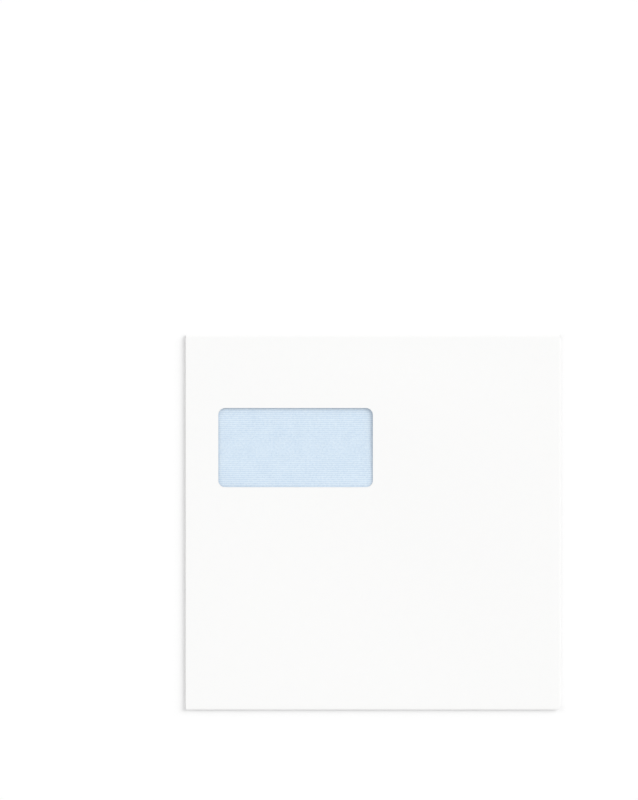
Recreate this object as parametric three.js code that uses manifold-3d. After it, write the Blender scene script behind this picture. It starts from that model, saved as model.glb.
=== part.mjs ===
// A square window envelope lying on its back: one die-cut sheet folded round a pocket, a clear
// film behind the window, and the adhesives that hold the seams, the film and the seal flap.
// Millimetres. +X runs across the front, +Y up the front towards the seal flap's fold, +Z up out
// of the window. The origin is on the surface the envelope lies on, below the middle of the front.
import * as THREE from 'three';
import { mergeVertices } from 'three/addons/utils/BufferGeometryUtils.js';
import Module from 'manifold-3d';

// Envelope and its paper.
const width = 220;
const height = 220;
const paperThickness = 0.13;

// Window, measured from the left edge and from the top fold.
const windowWidth = 90.6;
const windowHeight = 46.4;
const windowFromLeft = 19.3;
const windowFromTop = 43;
const windowCornerRadius = 4;

// Film patch, and the ring of adhesive that holds it to the inside of the front.
const filmThickness = 0.035;
const filmOverlap = 10;
const windowGlueThickness = 0.03;
const windowGlueWidth = 6;
const windowGlueSetback = 2;

// Side flaps, folded in from the front and glued to the back.
const sideFlapWidth = 16;
const sideFlapCornerRelief = 1.8;
const sideFlapTopTaper = 5;
const sideFlapBottomTaper = 11;
const seamGlueThickness = 0.05;
const seamGlueWidth = 10;
const seamGlueSetback = 3;
const seamGlueEndGap = 4;

// Back, folded up from the bottom, with a wide shallow throat at its top edge.
const backInset = 1.3;
const backTopGap = 1;
const throatDepth = 22.5;
const throatFlatWidth = 82;
const throatEndInset = 5;

// Seal flap, folded under the back but not stuck down, and the dried gum on its inner face.
const flapInset = 0.8;
const flapDepth = 50;
const flapShoulderDepth = 29;
const flapShoulderInset = 8;
const flapShoulderRadius = 10;
const flapTipWidth = 80;
const gumThickness = 0.03;
const gumWidth = 13;
const gumSetback = 2.5;

// How the empty envelope lies: its edges stand off the surface, and its front is slightly full
// towards the throat and sunk below it.
const edgeLift = 0.6;
const frontCrown = 0.6;
const crownSkew = 3;
const frontSag = 0.6;
const sagSkew = 0.7;

// The side folds spring open by a gap, and each fold reaches a little beyond its panels.
const sideFoldGap = 0.6;
const creaseReach = 0.1;

// The back is level along the side seams and comes down to the surface further in. Up the middle
// it ramps over the seal flap's tip, and it keeps some play to the flap all over.
const seamZone = 20;
const liftReach = 50;
const bottomLiftReach = 35;
const flapRampLength = 80;
const flapRampClearance = 30;
const flapPlayAtFold = 0.15;
const flapPlayAtTip = 0.7;

// Clearance between pieces that lie on each other, and the fineness of the facets.
const fit = 0.02;
const gridStep = 16;
const foldSteps = 6;
const cornerSteps = 5;
const samePoint = 1e-4;

const halfWidth = width / 2;
const halfHeight = height / 2;

// Levels along the edges, from the lowest up.
const seamGap = seamGlueThickness + 2 * fit;
const backInner = edgeLift + paperThickness;
const sideFlapUnder = backInner + seamGap;
const sideFlapOver = sideFlapUnder + paperThickness;
const frontUnderEdge = sideFlapOver + sideFoldGap;
const backOverTip = paperThickness + flapPlayAtTip;
const flapUnderEdge = edgeLift - paperThickness - flapPlayAtFold;

// A pressed fold: half an oval round the gap between the faces that meet inside it. Each of its two
// faces is given by how far it reaches beyond the panels and by its half height.
function foldBetween(insideTop, insideBottom) {
  const inner = (insideTop - insideBottom) / 2;
  const reach = Math.min(inner, creaseReach);
  return {
    centre: (insideTop + insideBottom) / 2,
    outside: { reach: reach + paperThickness, rise: inner + paperThickness },
    inside: { reach, rise: inner },
  };
}

const sideFold = foldBetween(frontUnderEdge, sideFlapOver);
const bottomFold = foldBetween(frontUnderEdge, backInner);
const topFold = foldBetween(frontUnderEdge, flapUnderEdge + paperThickness);

// The front is a plain panel up to where its folds begin.
const frontSide = halfWidth - sideFold.outside.reach;
const frontBottom = -halfHeight + bottomFold.outside.reach;
const frontTop = halfHeight - topFold.outside.reach;

const sideFlapEnd = halfHeight - sideFlapCornerRelief;
const backHalfWidth = halfWidth - backInset;
const backTop = halfHeight - backTopGap;
const throatBottom = halfHeight - throatDepth;
const throatFlatHalf = throatFlatWidth / 2;
const throatEnd = halfWidth - throatEndInset;
const flapHalfWidth = halfWidth - flapInset;
const flapTip = halfHeight - flapDepth;

const windowLeft = -halfWidth + windowFromLeft;
const windowRight = windowLeft + windowWidth;
const windowTop = halfHeight - windowFromTop;
const windowBottom = windowTop - windowHeight;
const filmLeft = windowLeft - filmOverlap;
const filmRight = windowRight + filmOverlap;
const filmTop = windowTop + filmOverlap;
const filmBottom = windowBottom - filmOverlap;

// 1 up to start, then a smooth fall to 0 at end.
function ease(distance, start, end) {
  const t = THREE.MathUtils.clamp((distance - start) / (end - start), 0, 1);
  return (1 + Math.cos(Math.PI * t)) / 2;
}

// A smooth rise from 0 at either end to 1 between. A skew above 1 moves the top towards the end.
function hump(value, start, end, skew = 1) {
  const share = THREE.MathUtils.clamp((value - start) / (end - start), 0, 1);
  return Math.sin(Math.PI * share ** skew) ** 2;
}

// Underside of each panel above the surface that the envelope lies on.
function underFront(x, y) {
  const across = hump(x, -frontSide, frontSide);
  const full = hump(y, frontBottom, frontTop, crownSkew);
  const sunk = hump(y, frontBottom, frontTop, sagSkew);
  return frontUnderEdge + (frontCrown * full - frontSag * sunk) * across;
}

function underFlap(x, y) {
  return flapUnderEdge * ease(frontTop - y, 0, liftReach);
}

function underBack(x, y) {
  const side = ease(halfWidth - Math.abs(x), seamZone, seamZone + liftReach);
  const end = Math.max(ease(y - frontBottom, 0, bottomLiftReach), ease(frontTop - y, 0, liftReach));
  const lifted = 1 - (1 - side) * (1 - end);
  const onFlap = ease(flapTip - flapRampClearance - y, 0, flapRampLength);
  return edgeLift * lifted + backOverTip * onFlap * (1 - lifted);
}

function underSideFlap() {
  return sideFlapUnder;
}

// The film and the adhesives keep parallel to the panel they lie on.
function underWindowGlue(x, y) {
  return underFront(x, y) - fit - windowGlueThickness;
}

function underFilm(x, y) {
  return underWindowGlue(x, y) - fit - filmThickness;
}

function underSeamGlue() {
  return backInner + fit;
}

function underGum(x, y) {
  return underFlap(x, y) + paperThickness + fit;
}

// Positions from the first to the last break, through each break, none further apart than gridStep.
function spread(breaks) {
  const sorted = [...breaks].sort((a, b) => a - b);
  const found = [sorted[0]];
  for (let i = 1; i < sorted.length; i++) {
    const start = sorted[i - 1];
    const gap = sorted[i] - start;
    const parts = Math.ceil(gap / gridStep);
    for (let k = 1; k <= parts; k++) found.push(start + (gap * k) / parts);
  }
  return found;
}

// A thin solid given by pairs of points, one on each face. Grids that share an edge share its points.
class Skin {
  constructor() {
    this.pairs = [];
    this.faces = [];
  }

  pair(outer, inner) {
    const same = (p) => p.outer.distanceTo(outer) < samePoint && p.inner.distanceTo(inner) < samePoint;
    const found = this.pairs.findIndex(same);
    if (found >= 0) return found;
    this.pairs.push({ outer, inner });
    return this.pairs.length - 1;
  }

  // at(i, j) gives a pair. Seen from outside, i runs right and j runs up, or i runs left if mirrored.
  grid(columns, rows, at, mirrored = false) {
    const ids = [];
    for (let j = 0; j < rows; j++) {
      for (let i = 0; i < columns; i++) ids.push(this.pair(...at(i, j)));
    }
    for (let j = 0; j + 1 < rows; j++) {
      for (let i = 0; i + 1 < columns; i++) {
        const a = ids[j * columns + i];
        const b = ids[j * columns + i + 1];
        const c = ids[(j + 1) * columns + i + 1];
        const d = ids[(j + 1) * columns + i];
        this.faces.push(...(mirrored ? [[a, c, b], [a, d, c]] : [[a, b, c], [a, c, d]]));
      }
    }
  }

  // Both faces, and a wall along every edge that only one facet uses.
  geometry() {
    const count = this.pairs.length;
    const index = [];
    const rim = new Map();
    for (const [a, b, c] of this.faces) {
      index.push(a, b, c, count + a, count + c, count + b);
      for (const [p, q] of [[a, b], [b, c], [c, a]]) {
        if (!rim.delete(`${q} ${p}`)) rim.set(`${p} ${q}`, [p, q]);
      }
    }
    for (const [p, q] of rim.values()) {
      index.push(q, p, count + p, q, count + p, count + q);
    }
    const points = [...this.pairs.map((p) => p.outer), ...this.pairs.map((p) => p.inner)];
    return new THREE.BufferGeometry().setFromPoints(points).setIndex(index);
  }
}

// A pair on a panel. Its outer face is on top, or underneath where the panel is folded under.
function panelPair(x, y, under, thickness, foldedUnder = false) {
  const low = new THREE.Vector3(x, y, under(x, y));
  const high = new THREE.Vector3(x, y, low.z + thickness);
  return foldedUnder ? [low, high] : [high, low];
}

// A pair in a fold: turn is 0 at the upper panel and 1 at the lower, and out points away from both.
function foldPair(x, y, out, fold, turn) {
  const angle = Math.PI * turn;
  return [fold.outside, fold.inside].map(({ reach, rise }) => new THREE.Vector3(
    x + out.x * reach * Math.sin(angle),
    y + out.y * reach * Math.sin(angle),
    fold.centre + rise * Math.cos(angle),
  ));
}

// Grid lines of the front. Folds and the panels beyond them carry on along the same lines.
const columnLines = spread([
  ...[frontSide, flapHalfWidth, backHalfWidth, throatEnd, throatFlatHalf].flatMap((x) => [-x, x]),
  filmLeft,
  filmRight,
]);
const rowLines = spread([frontBottom, -sideFlapEnd, filmBottom, filmTop, sideFlapEnd, frontTop]);

function linesWithin(lines, low, high) {
  return lines.filter((v) => v > low - samePoint && v < high + samePoint);
}

// A layer that faces up, over the given grid lines.
function faceUpGrid(skin, columns, rows, under, thickness) {
  skin.grid(columns.length, rows.length, (i, j) => panelPair(columns[i], rows[j], under, thickness));
}

// side is -1 on the left and 1 on the right.
function addSideFlap(sheet, side) {
  const rows = linesWithin(rowLines, -sideFlapEnd, sideFlapEnd);
  const out = new THREE.Vector2(side, 0);
  const foldAt = (i, j) => foldPair(side * frontSide, rows[j], out, sideFold, i / foldSteps);
  sheet.grid(foldSteps + 1, rows.length, foldAt, side < 0);

  const reach = spread([0, sideFlapWidth]);
  const flapAt = (i, j) => {
    const share = reach[i] / sideFlapWidth;
    const low = -sideFlapEnd + sideFlapBottomTaper * share;
    const high = sideFlapEnd - sideFlapTopTaper * share;
    const y = THREE.MathUtils.mapLinear(rows[j], -sideFlapEnd, sideFlapEnd, low, high);
    return panelPair(side * (frontSide - reach[i]), y, underSideFlap, paperThickness, true);
  };
  sheet.grid(reach.length, rows.length, flapAt, side < 0);
}

// Top edge of the back: straight under the fold at each end, sloping down to the throat between.
function backEdge(x) {
  const away = THREE.MathUtils.clamp(Math.abs(x), throatFlatHalf, throatEnd);
  return THREE.MathUtils.mapLinear(away, throatFlatHalf, throatEnd, throatBottom, backTop);
}

function addBack(sheet) {
  const columns = linesWithin(columnLines, -backHalfWidth, backHalfWidth);
  const out = new THREE.Vector2(0, -1);
  const foldAt = (i, j) => foldPair(columns[i], frontBottom, out, bottomFold, j / foldSteps);
  sheet.grid(columns.length, foldSteps + 1, foldAt, true);

  const level = flapTip - flapRampClearance;
  const straight = spread([frontBottom, frontBottom + bottomLiftReach, level - flapRampLength, level]);
  const fanned = spread([level, throatBottom]).slice(1);
  const rows = [...straight, ...fanned];
  const backAt = (i, j) => {
    const fannedY = THREE.MathUtils.mapLinear(rows[j], level, throatBottom, level, backEdge(columns[i]));
    const y = j < straight.length ? rows[j] : fannedY;
    return panelPair(columns[i], y, underBack, paperThickness, true);
  };
  sheet.grid(columns.length, rows.length, backAt, true);
}

// Right-hand corners of the seal flap, as half width against depth below the fold.
const flapCorners = {
  fold: new THREE.Vector2(flapHalfWidth, topFold.outside.reach),
  shoulder: new THREE.Vector2(halfWidth - flapShoulderInset, flapShoulderDepth),
  tip: new THREE.Vector2(flapTipWidth / 2, flapDepth),
};

// The flap's right-hand edge from fold to tip, with its shoulder rounded.
function flapEdge() {
  const { fold, shoulder, tip } = flapCorners;
  const before = shoulder.clone().lerp(fold, flapShoulderRadius / shoulder.distanceTo(fold) / 2);
  const after = shoulder.clone().lerp(tip, flapShoulderRadius / shoulder.distanceTo(tip) / 2);
  const round = new THREE.QuadraticBezierCurve(before, shoulder, after);
  const upper = Math.ceil((before.y - fold.y) / (gridStep / 2));
  const lower = Math.ceil((tip.y - after.y) / (gridStep / 2));
  return [
    ...new THREE.LineCurve(fold, before).getPoints(upper),
    ...round.getPoints(cornerSteps).slice(1, -1),
    ...new THREE.LineCurve(after, tip).getPoints(lower),
  ];
}

function flapGrid(skin, under, thickness) {
  const columns = linesWithin(columnLines, -flapHalfWidth, flapHalfWidth);
  const edge = flapEdge();
  const flapAt = (i, j) => {
    const x = (columns[i] * edge[j].x) / flapHalfWidth;
    return panelPair(x, halfHeight - edge[j].y, under, thickness, true);
  };
  skin.grid(columns.length, edge.length, flapAt);
}

function addSealFlap(sheet) {
  const columns = linesWithin(columnLines, -flapHalfWidth, flapHalfWidth);
  const out = new THREE.Vector2(0, 1);
  const foldAt = (i, j) => foldPair(columns[i], frontTop, out, topFold, j / foldSteps);
  sheet.grid(columns.length, foldSteps + 1, foldAt);
  flapGrid(sheet, underFlap, paperThickness);
}

const wasm = await Module();
wasm.setup();

function solidFrom(geometry) {
  const bare = new THREE.BufferGeometry();
  bare.setAttribute('position', geometry.getAttribute('position'));
  bare.setIndex(geometry.getIndex());
  const merged = mergeVertices(bare, samePoint / 10);
  return new wasm.Manifold(new wasm.Mesh({
    numProp: 3,
    vertProperties: merged.attributes.position.array,
    triVerts: new Uint32Array(merged.index.array),
  }));
}

function geometryFrom(solid) {
  const mesh = solid.getMesh();
  return new THREE.BufferGeometry()
    .setAttribute('position', new THREE.BufferAttribute(mesh.vertProperties, 3))
    .setIndex(new THREE.BufferAttribute(mesh.triVerts, 1));
}

// An outline extruded upright between two levels.
function prism(outline, bottom, top) {
  const shape = new THREE.ExtrudeGeometry(outline, {
    depth: top - bottom,
    bevelEnabled: false,
    curveSegments: cornerSteps,
  });
  return solidFrom(shape.translate(0, 0, bottom));
}

// The window's outline, grown by a margin on every side.
function windowOutline(margin) {
  const left = windowLeft - margin;
  const right = windowRight + margin;
  const bottom = windowBottom - margin;
  const top = windowTop + margin;
  const radius = windowCornerRadius + margin;
  const quarter = Math.PI / 2;
  return new THREE.Shape()
    .moveTo(left + radius, bottom)
    .absarc(right - radius, bottom + radius, radius, -quarter, 0)
    .absarc(right - radius, top - radius, radius, 0, quarter)
    .absarc(left + radius, top - radius, radius, quarter, 2 * quarter)
    .absarc(left + radius, bottom + radius, radius, 2 * quarter, 3 * quarter);
}

// The whole sheet: front, side flaps, back and seal flap, with the window cut through the front.
function paperSheet() {
  const sheet = new Skin();
  faceUpGrid(sheet, columnLines, rowLines, underFront, paperThickness);
  addSideFlap(sheet, -1);
  addSideFlap(sheet, 1);
  addBack(sheet);
  addSealFlap(sheet);

  const cutBottom = Math.max(backInner, backOverTip + paperThickness) + fit;
  const cutTop = frontUnderEdge + frontCrown + 2 * paperThickness;
  const cutter = prism(windowOutline(0), cutBottom, cutTop);
  return geometryFrom(solidFrom(sheet.geometry()).subtract(cutter));
}

function windowFilm() {
  const film = new Skin();
  const columns = linesWithin(columnLines, filmLeft, filmRight);
  const rows = linesWithin(rowLines, filmBottom, filmTop);
  faceUpGrid(film, columns, rows, underFilm, filmThickness);
  return film.geometry();
}

// A ring a little way out from the window's edge, cut out of a layer below the front.
function windowGlue() {
  const layer = new Skin();
  faceUpGrid(layer, columnLines, rowLines, underWindowGlue, windowGlueThickness);
  const ring = windowOutline(windowGlueSetback + windowGlueWidth);
  ring.holes.push(windowOutline(windowGlueSetback));
  const cutter = prism(ring, 0, frontUnderEdge + frontCrown + paperThickness);
  return geometryFrom(solidFrom(layer.geometry()).intersect(cutter));
}

// One line of adhesive between a side flap and the back, in the level zone along the fold.
function seamGlue(side) {
  const line = new Skin();
  const outside = frontSide - seamGlueSetback;
  const columns = [side * outside, side * (outside - seamGlueWidth)].sort((a, b) => a - b);
  const rows = [
    -sideFlapEnd + sideFlapBottomTaper + seamGlueEndGap,
    sideFlapEnd - sideFlapTopTaper - seamGlueEndGap,
  ];
  faceUpGrid(line, columns, rows, underSeamGlue, seamGlueThickness);
  return line.geometry();
}

// Where two lines cross once each is moved sideways, each given by two points and its own inset.
function insetCrossing(first, firstInset, second, secondInset) {
  const lines = [[first, firstInset], [second, secondInset]].map(([[from, to], inset]) => {
    const normal = new THREE.Vector2(from.y - to.y, to.x - from.x).normalize();
    return { normal, offset: normal.dot(from) + inset };
  });
  const [a, b] = lines;
  const scale = a.normal.cross(b.normal);
  return new THREE.Vector2(
    (a.offset * b.normal.y - b.offset * a.normal.y) / scale,
    (b.offset * a.normal.x - a.offset * b.normal.x) / scale,
  );
}

// The gum follows the flap's lower edges from shoulder to shoulder.
function gumOutline() {
  const { fold, shoulder, tip } = flapCorners;
  const sideLine = [fold, shoulder];
  const slope = [shoulder, tip];
  const end = [tip, new THREE.Vector2(-tip.x, tip.y)];
  const gumInner = gumSetback + gumWidth;
  const half = [
    insetCrossing(sideLine, gumSetback, slope, gumInner),
    insetCrossing(sideLine, gumSetback, slope, gumSetback),
    insetCrossing(slope, gumSetback, end, gumSetback),
  ];
  const innerCorner = insetCrossing(slope, gumInner, end, gumInner);
  const onFlap = (side) => (p) => new THREE.Vector2(side * p.x, halfHeight - p.y);
  return new THREE.Shape([
    ...half.map(onFlap(1)),
    ...half.map(onFlap(-1)).reverse(),
    onFlap(-1)(innerCorner),
    onFlap(1)(innerCorner),
  ]);
}

function flapGum() {
  const layer = new Skin();
  flapGrid(layer, underGum, gumThickness);
  return geometryFrom(solidFrom(layer.geometry()).intersect(prism(gumOutline(), 0, frontUnderEdge)));
}

// Materials.
function whitePaper() {
  return new THREE.MeshStandardMaterial({ color: 0xfafaf9, roughness: 0.85, metalness: 0 });
}

function clearFilm() {
  return new THREE.MeshStandardMaterial({
    color: 0xd6e6f5,
    roughness: 0.12,
    metalness: 0,
    transparent: true,
    opacity: 0.4,
  });
}

function driedGlue() {
  return new THREE.MeshStandardMaterial({ color: 0xf1efe6, roughness: 0.5, metalness: 0 });
}

function driedGum() {
  return new THREE.MeshStandardMaterial({ color: 0xf4f2ea, roughness: 0.3, metalness: 0 });
}

const envelope = new THREE.Group();

function add(name, geometry, material) {
  const mesh = new THREE.Mesh(geometry, material);
  mesh.name = name;
  envelope.add(mesh);
}

add('paper_sheet', paperSheet(), whitePaper());
add('window_film', windowFilm(), clearFilm());
add('window_glue', windowGlue(), driedGlue());
add('seam_glue_left', seamGlue(-1), driedGlue());
add('seam_glue_right', seamGlue(1), driedGlue());
add('flap_gum', flapGum(), driedGum());

export default envelope;
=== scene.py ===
"""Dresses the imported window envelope: the folded paper as a fine sheet with the tint printed on its
inside, and the looks of the film, glue and gum, on a white floor under soft light."""
import math

import bpy
import numpy as np
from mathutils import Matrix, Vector


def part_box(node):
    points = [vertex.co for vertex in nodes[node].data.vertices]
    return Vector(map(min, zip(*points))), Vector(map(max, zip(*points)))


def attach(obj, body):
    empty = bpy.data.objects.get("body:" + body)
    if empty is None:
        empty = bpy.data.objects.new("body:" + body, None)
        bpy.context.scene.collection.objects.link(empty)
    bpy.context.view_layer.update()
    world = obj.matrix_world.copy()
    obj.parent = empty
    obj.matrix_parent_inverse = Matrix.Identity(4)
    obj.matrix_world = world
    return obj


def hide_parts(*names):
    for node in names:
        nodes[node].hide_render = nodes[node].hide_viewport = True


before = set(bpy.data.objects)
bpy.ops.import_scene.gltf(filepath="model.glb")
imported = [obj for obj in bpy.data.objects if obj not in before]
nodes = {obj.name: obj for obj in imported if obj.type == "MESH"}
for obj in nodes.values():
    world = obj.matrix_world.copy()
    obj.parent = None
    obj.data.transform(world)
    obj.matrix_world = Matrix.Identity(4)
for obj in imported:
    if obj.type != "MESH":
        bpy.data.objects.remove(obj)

MM = 0.001

# The folded sheet's outer size comes from the frame.
sheet_low, sheet_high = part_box("paper_sheet")
HALF_WIDTH = (sheet_high.x - sheet_low.x) / 2 / MM
HALF_HEIGHT = (sheet_high.y - sheet_low.y) / 2 / MM

# The paper and its cut, in millimetres.
PAPER = 0.13
WINDOW_WIDTH = 90.6
WINDOW_HEIGHT = 46.4
WINDOW_FROM_LEFT = 19.3
WINDOW_FROM_TOP = 43.0
WINDOW_RADIUS = 4.0
SIDE_FLAP_WIDTH = 16.0
SIDE_FLAP_RELIEF = 1.8
SIDE_FLAP_TOP_TAPER = 5.0
SIDE_FLAP_BOTTOM_TAPER = 11.0
BACK_INSET = 1.3
BACK_TOP_GAP = 1.0
THROAT_DEPTH = 22.5
THROAT_FLAT = 82.0
THROAT_END_INSET = 5.0
FLAP_INSET = 0.8
FLAP_DEPTH = 50.0
FLAP_SHOULDER_DEPTH = 29.0
FLAP_SHOULDER_INSET = 8.0
FLAP_SHOULDER_RADIUS = 10.0
FLAP_TIP = 80.0

# How the envelope lies, in millimetres: its edges stand off the floor, and its front is slightly
# full towards the throat and sunk below it.
EDGE_LIFT = 0.6
FRONT_CROWN = 0.6
CROWN_SKEW = 3.0
FRONT_SAG = 0.6
SAG_SKEW = 0.7

# The side folds spring open by a gap, and each fold reaches a little beyond its panels.
SIDE_FOLD_GAP = 0.6
CREASE_REACH = 0.1

# The back is level along the side seams and comes down to the floor further in. Up the middle it
# ramps over the seal flap's tip, and it keeps some play to the flap all over.
SEAM_ZONE = 20.0
LIFT_REACH = 50.0
BOTTOM_LIFT_REACH = 35.0
RAMP_LENGTH = 80.0
RAMP_CLEARANCE = 30.0
FLAP_PLAY_AT_FOLD = 0.15
FLAP_PLAY_AT_TIP = 0.7

# The seam glue's thickness, and the clearance between pieces that lie on each other.
SEAM_GLUE = 0.05
FIT = 0.02

# Fineness of the sheet: the longest facet in millimetres, the facets round a fold and round a
# corner, and the decimals to which two points are the same. Sharper bends than SHARP show as edges.
STEP = 2.5
FOLD_STEPS = 12
CORNER_STEPS = 10
POINT_DECIMALS = 4
SAME_PLACE = 1e-6
SHARP = math.radians(40)

# Print on the inside, in millimetres of the flat blank. On the seal flap it narrows from a
# shoulder to its tip, both measured from the fold.
PRINT_HALF_WIDTH = 100.5
PRINT_SHOULDER_DEPTH = 7.1
PRINT_TIP_DEPTH = 27.2
PRINT_TIP_HALF = 40.6
LINE_PITCH = 1.1933
LINE_START = -0.03

BACK_INNER = EDGE_LIFT + PAPER
SIDE_FLAP_UNDER = BACK_INNER + SEAM_GLUE + 2 * FIT
SIDE_FLAP_OVER = SIDE_FLAP_UNDER + PAPER
FRONT_UNDER = SIDE_FLAP_OVER + SIDE_FOLD_GAP
BACK_OVER_TIP = PAPER + FLAP_PLAY_AT_TIP
FLAP_UNDER = EDGE_LIFT - PAPER - FLAP_PLAY_AT_FOLD

# Material slots of the fine sheet.
OUTSIDE, INSIDE, CUT_EDGE = range(3)


class Fold:
    """A pressed fold: half an oval round the gap between the faces that meet inside it. Each of its
    two faces has a reach beyond the panels and a half height."""

    def __init__(self, inside_top, inside_bottom):
        rise = (inside_top - inside_bottom) / 2
        reach = min(rise, CREASE_REACH)
        self.centre = (inside_top + inside_bottom) / 2
        self.inside = (reach, rise)
        self.outside = (reach + PAPER, rise + PAPER)
        self.reach = reach + PAPER
        self.length = 2 * rise + PAPER


side_fold = Fold(FRONT_UNDER, SIDE_FLAP_OVER)
bottom_fold = Fold(FRONT_UNDER, BACK_INNER)
top_fold = Fold(FRONT_UNDER, FLAP_UNDER + PAPER)

FRONT_SIDE = HALF_WIDTH - side_fold.reach
FRONT_BOTTOM = -HALF_HEIGHT + bottom_fold.reach
FRONT_TOP = HALF_HEIGHT - top_fold.reach
SIDE_FLAP_END = HALF_HEIGHT - SIDE_FLAP_RELIEF
BACK_HALF = HALF_WIDTH - BACK_INSET
BACK_TOP = HALF_HEIGHT - BACK_TOP_GAP
THROAT_BOTTOM = HALF_HEIGHT - THROAT_DEPTH
THROAT_HALF = THROAT_FLAT / 2
THROAT_END = HALF_WIDTH - THROAT_END_INSET
FLAP_HALF = HALF_WIDTH - FLAP_INSET
FLAP_TIP_Y = HALF_HEIGHT - FLAP_DEPTH
WINDOW_LEFT = -HALF_WIDTH + WINDOW_FROM_LEFT
WINDOW_TOP = HALF_HEIGHT - WINDOW_FROM_TOP


def clamp(value, low, high):
    return max(low, min(high, value))


def remap(value, low, high, new_low, new_high):
    return new_low + (new_high - new_low) * (value - low) / (high - low)


def ease(distance, start, end):
    """1 up to start, then a smooth fall to 0 at end."""
    return (1 + math.cos(math.pi * clamp((distance - start) / (end - start), 0, 1))) / 2


def hump(value, start, end, skew=1.0):
    """A smooth rise from 0 at either end to 1 between. A skew above 1 moves the top to the end."""
    share = clamp((value - start) / (end - start), 0, 1)
    return math.sin(math.pi * share**skew) ** 2


def under_front(x, y):
    across = hump(x, -FRONT_SIDE, FRONT_SIDE)
    full = hump(y, FRONT_BOTTOM, FRONT_TOP, CROWN_SKEW)
    sunk = hump(y, FRONT_BOTTOM, FRONT_TOP, SAG_SKEW)
    return FRONT_UNDER + (FRONT_CROWN * full - FRONT_SAG * sunk) * across


def under_flap(x, y):
    return FLAP_UNDER * ease(FRONT_TOP - y, 0, LIFT_REACH)


def under_back(x, y):
    side = ease(HALF_WIDTH - abs(x), SEAM_ZONE, SEAM_ZONE + LIFT_REACH)
    bottom = ease(y - FRONT_BOTTOM, 0, BOTTOM_LIFT_REACH)
    end = max(bottom, ease(FRONT_TOP - y, 0, LIFT_REACH))
    lifted = 1 - (1 - side) * (1 - end)
    on_flap = ease(FLAP_TIP_Y - RAMP_CLEARANCE - y, 0, RAMP_LENGTH)
    return EDGE_LIFT * lifted + BACK_OVER_TIP * on_flap * (1 - lifted)


def under_side_flap(x, y):
    return SIDE_FLAP_UNDER


def spread(breaks):
    """Positions from the first to the last break, through each, none further apart than STEP."""
    breaks = sorted(breaks)
    found = [breaks[0]]
    for start, end in zip(breaks, breaks[1:]):
        parts = math.ceil((end - start) / STEP)
        found += [start + (end - start) * k / parts for k in range(1, parts + 1)]
    return found


def within(lines, limit):
    return [v for v in lines if abs(v) <= limit + SAME_PLACE]


class Skin:
    """A thin solid of point pairs, one point on each face, each pair with its place on the blank."""

    def __init__(self):
        self.known = {}
        self.outer, self.inner, self.blank, self.quads = [], [], [], []

    def pair(self, outer, inner, blank):
        key = tuple(round(v, POINT_DECIMALS) for v in (*outer, *inner))
        if key not in self.known:
            self.known[key] = len(self.outer)
            self.outer.append(outer)
            self.inner.append(inner)
            self.blank.append(blank)
        return self.known[key]

    def grid(self, columns, rows, at, mirrored=False):
        """at(i, j) gives a pair. From outside, i runs right and j up, or i left if mirrored."""
        ids = [[self.pair(*at(i, j)) for i in range(columns)] for j in range(rows)]
        for j in range(rows - 1):
            for i in range(columns - 1):
                quad = [ids[j][i], ids[j][i + 1], ids[j + 1][i + 1], ids[j + 1][i]]
                self.quads.append(quad[::-1] if mirrored else quad)

    def rim(self):
        """The edges that only one quad uses, in that quad's direction."""
        found = {}
        for quad in self.quads:
            for p, r in zip(quad, quad[1:] + quad[:1]):
                if found.pop((r, p), None) is None:
                    found[p, r] = True
        return list(found)

    def mesh(self, name, materials):
        """The closed mesh: both faces, and a wall along the rim."""
        count = len(self.outer)
        rim = self.rim()
        faces = [list(quad) for quad in self.quads]
        faces += [[count + v for v in reversed(quad)] for quad in self.quads]
        faces += [[r, p, count + p, count + r] for p, r in rim]
        sides = [OUTSIDE] * len(self.quads) + [INSIDE] * len(self.quads) + [CUT_EDGE] * len(rim)
        points = np.array(self.outer + self.inner) * MM
        mesh = bpy.data.meshes.new(name)
        mesh.from_pydata(points.tolist(), [], faces)
        mesh.polygons.foreach_set("material_index", sides)
        self.write_blank(mesh)
        for material in materials:
            mesh.materials.append(material)
        return mesh

    def write_blank(self, mesh):
        """The place on the blank as a UV map, in widths of the envelope."""
        layer = mesh.uv_layers.new(name="Blank")
        blank = np.array(self.blank + self.blank) / (2 * HALF_WIDTH)
        corners = np.empty(len(mesh.loops), int)
        mesh.loops.foreach_get("vertex_index", corners)
        layer.uv.foreach_set("vector", blank[corners].ravel())


def panel_pair(x, y, under, blank, folded_under=False):
    low = (x, y, under(x, y))
    high = (x, y, low[2] + PAPER)
    return (low, high, blank) if folded_under else (high, low, blank)


def fold_pair(x, y, out, fold, turn, blank):
    """turn is 0 at the upper panel and 1 at the lower one, and out points away from both."""
    across, up = math.sin(math.pi * turn), math.cos(math.pi * turn)
    points = [
        (x + out[0] * reach * across, y + out[1] * reach * across, fold.centre + rise * up)
        for reach, rise in (fold.outside, fold.inside)
    ]
    return (*points, blank)


COLUMNS = spread(
    [s * x for s in (-1, 1) for x in (FRONT_SIDE, FLAP_HALF, BACK_HALF, THROAT_END, THROAT_HALF)]
)
ROWS = spread([FRONT_BOTTOM, -SIDE_FLAP_END, SIDE_FLAP_END, FRONT_TOP])


def add_front(sheet):
    def at(i, j):
        x, y = COLUMNS[i], ROWS[j]
        return panel_pair(x, y, under_front, (x, y))

    sheet.grid(len(COLUMNS), len(ROWS), at)


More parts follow.
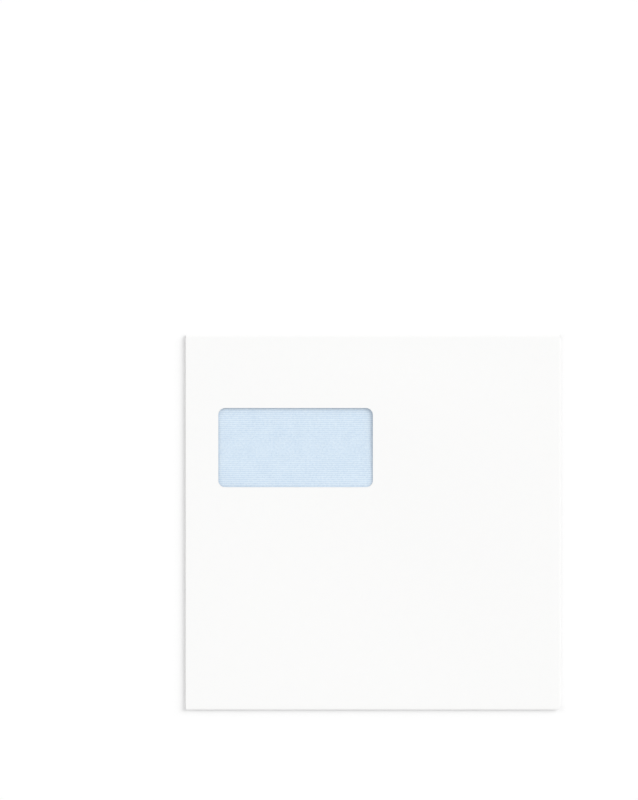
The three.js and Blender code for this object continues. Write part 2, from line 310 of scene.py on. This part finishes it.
def add_side_flap(sheet, side):
    """side is -1 on the left and 1 on the right."""
    rows = within(ROWS, SIDE_FLAP_END)
    reach = spread([0, SIDE_FLAP_WIDTH])
    start = FRONT_SIDE + side_fold.length

    def fold_at(i, j):
        turn = i / FOLD_STEPS
        blank = (side * (FRONT_SIDE + side_fold.length * turn), rows[j])
        return fold_pair(side * FRONT_SIDE, rows[j], (side, 0), side_fold, turn, blank)

    def flap_at(i, j):
        share = reach[i] / SIDE_FLAP_WIDTH
        low = -SIDE_FLAP_END + SIDE_FLAP_BOTTOM_TAPER * share
        high = SIDE_FLAP_END - SIDE_FLAP_TOP_TAPER * share
        y = remap(rows[j], -SIDE_FLAP_END, SIDE_FLAP_END, low, high)
        x = side * (FRONT_SIDE - reach[i])
        return panel_pair(x, y, under_side_flap, (side * (start + reach[i]), y), True)

    sheet.grid(FOLD_STEPS + 1, len(rows), fold_at, side < 0)
    sheet.grid(len(reach), len(rows), flap_at, side < 0)


def back_edge(x):
    """Top edge of the back: straight at each end, sloping down to the throat between."""
    away = clamp(abs(x), THROAT_HALF, THROAT_END)
    return remap(away, THROAT_HALF, THROAT_END, THROAT_BOTTOM, BACK_TOP)


def add_back(sheet):
    columns = within(COLUMNS, BACK_HALF)
    start = FRONT_BOTTOM - bottom_fold.length
    level = FLAP_TIP_Y - RAMP_CLEARANCE
    straight = spread([FRONT_BOTTOM, level])
    rows = straight + spread([level, THROAT_BOTTOM])[1:]

    def fold_at(i, j):
        turn = j / FOLD_STEPS
        blank = (columns[i], FRONT_BOTTOM - bottom_fold.length * turn)
        return fold_pair(columns[i], FRONT_BOTTOM, (0, -1), bottom_fold, turn, blank)

    def back_at(i, j):
        y = rows[j]
        if j >= len(straight):
            y = remap(y, level, THROAT_BOTTOM, level, back_edge(columns[i]))
        blank = (columns[i], start - (y - FRONT_BOTTOM))
        return panel_pair(columns[i], y, under_back, blank, True)

    sheet.grid(len(columns), FOLD_STEPS + 1, fold_at, True)
    sheet.grid(len(columns), len(rows), back_at, True)


def flap_edge():
    """The flap's right-hand edge from fold to tip, as half width against depth."""
    fold = Vector((FLAP_HALF, top_fold.reach))
    shoulder = Vector((HALF_WIDTH - FLAP_SHOULDER_INSET, FLAP_SHOULDER_DEPTH))
    tip = Vector((FLAP_TIP / 2, FLAP_DEPTH))
    before = shoulder.lerp(fold, FLAP_SHOULDER_RADIUS / 2 / (shoulder - fold).length)
    after = shoulder.lerp(tip, FLAP_SHOULDER_RADIUS / 2 / (shoulder - tip).length)
    points = []
    upper = math.ceil((before.y - fold.y) / STEP)
    points += [fold.lerp(before, k / upper) for k in range(upper + 1)]
    for k in range(1, CORNER_STEPS):
        t = k / CORNER_STEPS
        points.append(before.lerp(shoulder, t).lerp(shoulder.lerp(after, t), t))
    lower = math.ceil((tip.y - after.y) / STEP)
    points += [after.lerp(tip, k / lower) for k in range(lower + 1)]
    return points


def add_seal_flap(sheet):
    columns = within(COLUMNS, FLAP_HALF)
    edge = flap_edge()
    start = FRONT_TOP + top_fold.length

    def fold_at(i, j):
        turn = j / FOLD_STEPS
        blank = (columns[i], FRONT_TOP + top_fold.length * turn)
        return fold_pair(columns[i], FRONT_TOP, (0, 1), top_fold, turn, blank)

    def flap_at(i, j):
        x = columns[i] * edge[j].x / FLAP_HALF
        blank = (x, start + edge[j].y - top_fold.reach)
        return panel_pair(x, HALF_HEIGHT - edge[j].y, under_flap, blank, True)

    sheet.grid(len(columns), FOLD_STEPS + 1, fold_at)
    sheet.grid(len(columns), len(edge), flap_at)


def window_outline():
    """The window's rounded outline, anticlockwise."""
    right, bottom = WINDOW_LEFT + WINDOW_WIDTH, WINDOW_TOP - WINDOW_HEIGHT
    centres = [
        (right - WINDOW_RADIUS, bottom + WINDOW_RADIUS),
        (right - WINDOW_RADIUS, WINDOW_TOP - WINDOW_RADIUS),
        (WINDOW_LEFT + WINDOW_RADIUS, WINDOW_TOP - WINDOW_RADIUS),
        (WINDOW_LEFT + WINDOW_RADIUS, bottom + WINDOW_RADIUS),
    ]
    points = []
    for quarter, (x, y) in enumerate(centres):
        for k in range(CORNER_STEPS + 1):
            angle = math.pi / 2 * (quarter - 1 + k / CORNER_STEPS)
            points.append((x + WINDOW_RADIUS * math.cos(angle), y + WINDOW_RADIUS * math.sin(angle)))
    return points


def window_cutter(materials):
    """A prism through the front alone, all of it in the cut edge's slot."""
    outline = window_outline()
    count = len(outline)
    low = max(BACK_INNER, BACK_OVER_TIP + PAPER) + FIT
    high = FRONT_UNDER + FRONT_CROWN + 2 * PAPER
    points = [(x * MM, y * MM, z * MM) for z in (low, high) for x, y in outline]
    faces = [list(range(count))[::-1], list(range(count, 2 * count))]
    faces += [[k, (k + 1) % count, count + (k + 1) % count, count + k] for k in range(count)]
    mesh = bpy.data.meshes.new("window_cutter")
    mesh.from_pydata(points, [], faces)
    mesh.uv_layers.new(name="Blank")
    mesh.polygons.foreach_set("material_index", [CUT_EDGE] * len(faces))
    for material in materials:
        mesh.materials.append(material)
    return bpy.data.objects.new("window_cutter", mesh)


def folded_sheet(materials):
    """The whole folded blank with its window cut out, smooth except along its cut edges."""
    skin = Skin()
    add_front(skin)
    add_side_flap(skin, -1)
    add_side_flap(skin, 1)
    add_back(skin)
    add_seal_flap(skin)
    sheet = bpy.data.objects.new("folded_sheet", skin.mesh("folded_sheet", materials))
    cutter = window_cutter(materials)
    for obj in (sheet, cutter):
        bpy.context.scene.collection.objects.link(obj)
    cut = sheet.modifiers.new("window", "BOOLEAN")
    cut.operation, cut.solver, cut.object = "DIFFERENCE", "EXACT", cutter
    evaluated = sheet.evaluated_get(bpy.context.evaluated_depsgraph_get())
    cut_mesh = bpy.data.meshes.new_from_object(evaluated)
    sheet.modifiers.clear()
    sheet.data = cut_mesh
    bpy.data.objects.remove(cutter)
    cut_mesh.polygons.foreach_set("use_smooth", [True] * len(cut_mesh.polygons))
    cut_mesh.set_sharp_from_angle(angle=SHARP)
    return sheet


class Nodes:
    """Short ways to write a material's nodes. A value may be a number or another node's output."""

    def __init__(self, name):
        self.material = bpy.data.materials.new(name)
        self.material.use_nodes = True
        self.tree = self.material.node_tree
        self.tree.nodes.clear()
        self.out = self.tree.nodes.new("ShaderNodeOutputMaterial")

    def put(self, socket, value):
        if isinstance(value, bpy.types.NodeSocket):
            self.tree.links.new(value, socket)
        else:
            socket.default_value = value

    def add(self, kind, inputs, **settings):
        node = self.tree.nodes.new(kind)
        for key, value in settings.items():
            setattr(node, key, value)
        for key, value in inputs.items():
            self.put(node.inputs[key], value)
        return node

    def math(self, operation, a, b=0.0, c=0.0):
        inputs = {0: a, 1: b, 2: c}
        return self.add("ShaderNodeMath", inputs, operation=operation).outputs[0]

    def noise(self, vector, scale, detail=3.0):
        inputs = {"Vector": vector, "Scale": scale, "Detail": detail}
        return self.add("ShaderNodeTexNoise", inputs).outputs["Fac"]

    def level(self, factor, low, high):
        """factor from 0 to 1 spread over low to high."""
        inputs = {"Value": factor, "To Min": low, "To Max": high}
        return self.add("ShaderNodeMapRange", inputs).outputs["Result"]

    def mix(self, factor, a, b):
        node = self.add("ShaderNodeMix", {0: factor}, data_type="RGBA")
        self.put(node.inputs[6], a)
        self.put(node.inputs[7], b)
        return node.outputs[2]

    def bump(self, height, distance, strength=1.0):
        inputs = {"Height": height, "Distance": distance, "Strength": strength}
        return self.add("ShaderNodeBump", inputs).outputs["Normal"]

    def stretch(self, vector, factors):
        inputs = {0: vector, 1: factors}
        return self.add("ShaderNodeVectorMath", inputs, operation="MULTIPLY").outputs[0]

    def place(self):
        """Place on the object, in millimetres."""
        position = self.add("ShaderNodeTexCoord", {}).outputs["Object"]
        scaled = self.add("ShaderNodeVectorMath", {0: position}, operation="SCALE")
        scaled.inputs["Scale"].default_value = 1 / MM
        return scaled.outputs[0]

    def blank(self):
        """Place on the flat blank, in millimetres, as a vector and as its two parts."""
        uv = self.add("ShaderNodeUVMap", {}, uv_map="Blank").outputs["UV"]
        scaled = self.add("ShaderNodeVectorMath", {0: uv}, operation="SCALE")
        scaled.inputs["Scale"].default_value = 2 * HALF_WIDTH
        parts = self.add("ShaderNodeSeparateXYZ", {0: scaled.outputs[0]})
        return scaled.outputs[0], parts.outputs[0], parts.outputs[1]

    def surface(self, inputs):
        shader = self.add("ShaderNodeBsdfPrincipled", inputs)
        self.put(self.out.inputs["Surface"], shader.outputs["BSDF"])
        return self.material


# Colours, each pair from light to dark.
PAPER_COLOURS = (0.958, 0.958, 0.953, 1), (0.940, 0.941, 0.935, 1)
TINT_COLOURS = (0.785, 0.895, 0.990, 1), (0.545, 0.690, 0.850, 1)
CUT_COLOURS = (0.90, 0.90, 0.89, 1), (0.80, 0.81, 0.81, 1)
GLUE_COLOURS = (0.90, 0.88, 0.82, 1), (0.84, 0.82, 0.74, 1)
GUM_COLOURS = (0.94, 0.935, 0.90, 1), (0.91, 0.90, 0.85, 1)
FILM_COLOURS = (0.86, 0.92, 0.97, 1), (0.92, 0.95, 0.98, 1)
PAPER_SPECULAR = 0.25

# Ink on the inside, as the share that the lines, their speckle and the slow clouds each add.
LINE_INK = (0.02, 0.48)
SPECKLE_INK = (-0.45, 0.63)
CLOUD_INK = (-0.1, 0.3)

# How opaque the film is from straight above, and what its sheen adds when seen edge on.
FILM_HAZE = (0.01, 0.03)
FILM_SHEEN = 0.5
FILM_SHEEN_POWER = 4.0


def paper_surface(n, vector):
    """White colour, roughness and bump of uncoated paper: cloudy formation and fine fibres."""
    cloud = n.noise(vector, 0.16, 4.0)
    fibre = n.noise(vector, 2.2, 6.0)
    tone = n.math("MULTIPLY_ADD", cloud, 0.7, n.math("MULTIPLY", fibre, 0.3))
    colour = n.mix(n.level(tone, 0.0, 0.9), *PAPER_COLOURS)
    roughness = n.level(fibre, 0.72, 0.92)
    normal = n.bump(fibre, 0.012 * MM, 0.8)
    return colour, roughness, normal


def paper_outside():
    n = Nodes("paper_outside")
    vector, _, _ = n.blank()
    colour, roughness, normal = paper_surface(n, vector)
    return n.surface({
        "Base Color": colour, "Roughness": roughness, "Normal": normal,
        "Specular IOR Level": PAPER_SPECULAR,
    })


def print_mask(n, across, along):
    """1 where the inside is printed: not on the glued sides, nor past the flap's printed outline."""
    away = n.math("ABSOLUTE", across)
    depth = n.math("SUBTRACT", along, HALF_HEIGHT)
    slope = (PRINT_HALF_WIDTH - PRINT_TIP_HALF) / (PRINT_TIP_DEPTH - PRINT_SHOULDER_DEPTH)
    beyond = n.math("MAXIMUM", n.math("SUBTRACT", depth, PRINT_SHOULDER_DEPTH), 0.0)
    limit = n.math("MULTIPLY_ADD", beyond, -slope, PRINT_HALF_WIDTH)
    inside = n.math("LESS_THAN", away, limit)
    return n.math("MULTIPLY", inside, n.math("LESS_THAN", depth, PRINT_TIP_DEPTH))


def paper_inside():
    """Paper with a pale blue tint of fine, unevenly inked lines."""
    n = Nodes("paper_inside")
    vector, across, along = n.blank()
    colour, roughness, normal = paper_surface(n, vector)
    lines = n.math("DIVIDE", n.math("SUBTRACT", along, LINE_START), LINE_PITCH)
    wave = n.math("SINE", n.math("MULTIPLY", lines, 2 * math.pi))
    line = n.level(wave, *LINE_INK)
    speckled = n.level(n.noise(vector, 0.8), *SPECKLE_INK)
    cloudy = n.level(n.noise(vector, 0.12), *CLOUD_INK)
    ink = n.math("ADD", n.math("ADD", line, speckled), cloudy)
    tint = n.mix(ink, *TINT_COLOURS)
    printed = n.mix(print_mask(n, across, along), colour, tint)
    return n.surface({
        "Base Color": printed, "Roughness": roughness, "Normal": normal,
        "Specular IOR Level": PAPER_SPECULAR,
    })


def paper_cut():
    """Cut edge of the paper: fibres show, a little greyer than the faces."""
    n = Nodes("paper_cut")
    vector = n.place()
    fibre = n.noise(vector, 3.0, 5.0)
    return n.surface({
        "Base Color": n.mix(fibre, *CUT_COLOURS),
        "Roughness": n.level(fibre, 0.85, 0.98),
        "Normal": n.bump(fibre, 0.03 * MM),
    })


def film_clear():
    """Clear film, nearly unseen from straight above, with long ripples in its gloss."""
    n = Nodes("film_clear")
    vector = n.place()
    ripple = n.noise(n.stretch(vector, (0.25, 1.0, 1.0)), 0.12, 2.0)
    haze = n.noise(vector, 0.8)
    slant = n.add("ShaderNodeLayerWeight", {"Blend": 0.5}).outputs["Facing"]
    sheen = n.math("POWER", slant, FILM_SHEEN_POWER)
    return n.surface({
        "Base Color": n.mix(haze, *FILM_COLOURS),
        "Roughness": n.level(haze, 0.06, 0.12),
        "Alpha": n.math("MULTIPLY_ADD", sheen, FILM_SHEEN, n.level(haze, *FILM_HAZE)),
        "Normal": n.bump(ripple, 0.3 * MM),
        "IOR": 1.5,
    })


def dried(name, colours, roughness, grain, opacity):
    """Dried adhesive: streaked up the envelope, with a fine uneven skin. Roughness and opacity are
    each a lowest and a highest value, and grain is the streaks' fineness per millimetre."""
    n = Nodes(name)
    vector = n.place()
    streak = n.noise(n.stretch(vector, (1.0, 0.1, 1.0)), grain)
    skin = n.noise(vector, 1.5, 5.0)
    return n.surface({
        "Base Color": n.mix(streak, *colours),
        "Roughness": n.level(skin, *roughness),
        "Normal": n.bump(skin, 0.01 * MM),
        "Alpha": n.level(streak, *opacity),
        "IOR": 1.48,
    })


def give(node, material):
    obj = nodes[node]
    obj.data.materials.clear()
    obj.data.materials.append(material)


def add_sheet():
    sheet = folded_sheet([paper_outside(), paper_inside(), paper_cut()])
    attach(sheet, "root")
    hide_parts("paper_sheet")


def dress_nodes():
    give("window_film", film_clear())
    glue = dried("glue_dried", GLUE_COLOURS, roughness=(0.4, 0.65), grain=0.5, opacity=(0.2, 0.4))
    for node in ("window_glue", "seam_glue_left", "seam_glue_right"):
        give(node, glue)
    gum = dried("gum_dried", GUM_COLOURS, roughness=(0.22, 0.38), grain=0.3, opacity=(0.4, 0.6))
    give("flap_gum", gum)


# Light and camera, in metres and degrees.
AMBIENT = 0.71
KEY_SHARE = 0.25
KEY_ELEVATION = 26.0
KEY_AZIMUTH = 27.0
KEY_SPREAD = 40.0
FILL_SHARE = 0.05
FILL_ELEVATION = 26.0
FILL_AZIMUTH = 155.0
FILL_SPREAD = 50.0
FLOOR_SIZE = 6.0
FLOOR_BOUNCE = 0.8
LENS = 100.0
SENSOR = 36.0
PHOTO_WIDTH, PHOTO_HEIGHT = 638, 800
PHOTO_MM_PER_PX = 0.5865
ENVELOPE_CENTRE_PX = (373.0, 522.3)


def seen_directly(tree):
    """1 for rays by which the camera sees a thing straight, in a gloss or through the film."""
    path = tree.nodes.new("ShaderNodeLightPath")
    total = path.outputs["Is Camera Ray"]
    for name in ("Is Glossy Ray", "Is Transmission Ray"):
        either = tree.nodes.new("ShaderNodeMath")
        either.operation = "MAXIMUM"
        tree.links.new(total, either.inputs[0])
        tree.links.new(path.outputs[name], either.inputs[1])
        total = either.outputs[0]
    return total


def add_world():
    """Even white light from all round, and plain white wherever it is seen."""
    world = bpy.data.worlds.new("studio")
    bpy.context.scene.world = world
    world.use_nodes = True
    tree = world.node_tree
    background = tree.nodes["Background"]
    strength = tree.nodes.new("ShaderNodeMapRange")
    strength.inputs["To Min"].default_value = AMBIENT
    strength.inputs["To Max"].default_value = 1.0
    tree.links.new(seen_directly(tree), strength.inputs["Value"])
    tree.links.new(strength.outputs["Result"], background.inputs["Strength"])
    background.inputs["Color"].default_value = (1, 1, 1, 1)


def add_sun(name, share, elevation, azimuth, spread):
    """A wide soft light. The two of them and the world together light white as white."""
    light = bpy.data.lights.new(name, "SUN")
    elevation, azimuth = math.radians(elevation), math.radians(azimuth)
    light.energy = share * math.pi / math.sin(elevation)
    light.angle = math.radians(spread)
    sun = bpy.data.objects.new(name, light)
    towards = Vector((
        math.cos(azimuth) * math.cos(elevation),
        math.sin(azimuth) * math.cos(elevation),
        math.sin(elevation),
    ))
    sun.rotation_euler = towards.to_track_quat("Z", "Y").to_euler()
    bpy.context.scene.collection.objects.link(sun)


def add_floor():
    """A white floor that keeps the envelope's shadow."""
    half = FLOOR_SIZE / 2
    mesh = bpy.data.meshes.new("floor")
    corners = [(-half, -half, 0), (half, -half, 0), (half, half, 0), (-half, half, 0)]
    mesh.from_pydata(corners, [], [[0, 1, 2, 3]])
    floor = bpy.data.objects.new("floor", mesh)
    bpy.context.scene.collection.objects.link(floor)
    material = bpy.data.materials.new("floor_white")
    material.use_nodes = True
    tree = material.node_tree
    shader = tree.nodes["Principled BSDF"]
    shader.inputs["Roughness"].default_value = 1.0
    shader.inputs["Specular IOR Level"].default_value = 0.0
    tone = tree.nodes.new("ShaderNodeMix")
    tone.data_type = "RGBA"
    tone.inputs[6].default_value = (FLOOR_BOUNCE, FLOOR_BOUNCE, FLOOR_BOUNCE, 1)
    tone.inputs[7].default_value = (1, 1, 1, 1)
    tree.links.new(seen_directly(tree), tone.inputs[0])
    tree.links.new(tone.outputs[2], shader.inputs["Base Color"])
    mesh.materials.append(material)


def add_camera():
    """Straight down, with the envelope where the photograph has it in its frame."""
    camera = bpy.data.cameras.new("camera")
    camera.lens = LENS
    camera.sensor_width = SENSOR
    x = (PHOTO_WIDTH / 2 - ENVELOPE_CENTRE_PX[0]) * PHOTO_MM_PER_PX * MM
    y = (ENVELOPE_CENTRE_PX[1] - PHOTO_HEIGHT / 2) * PHOTO_MM_PER_PX * MM
    long_side = PHOTO_HEIGHT * PHOTO_MM_PER_PX * MM
    front_level = (FRONT_UNDER + PAPER) * MM
    obj = bpy.data.objects.new("camera", camera)
    obj.location = (x, y, front_level + long_side * LENS / SENSOR)
    bpy.context.scene.collection.objects.link(obj)
    bpy.context.scene.camera = obj


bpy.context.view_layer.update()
add_sheet()
dress_nodes()
add_world()
add_sun("soft_key", KEY_SHARE, KEY_ELEVATION, KEY_AZIMUTH, KEY_SPREAD)
add_sun("soft_fill", FILL_SHARE, FILL_ELEVATION, FILL_AZIMUTH, FILL_SPREAD)
add_floor()
add_camera()
bpy.context.scene.view_settings.view_transform = "Standard"
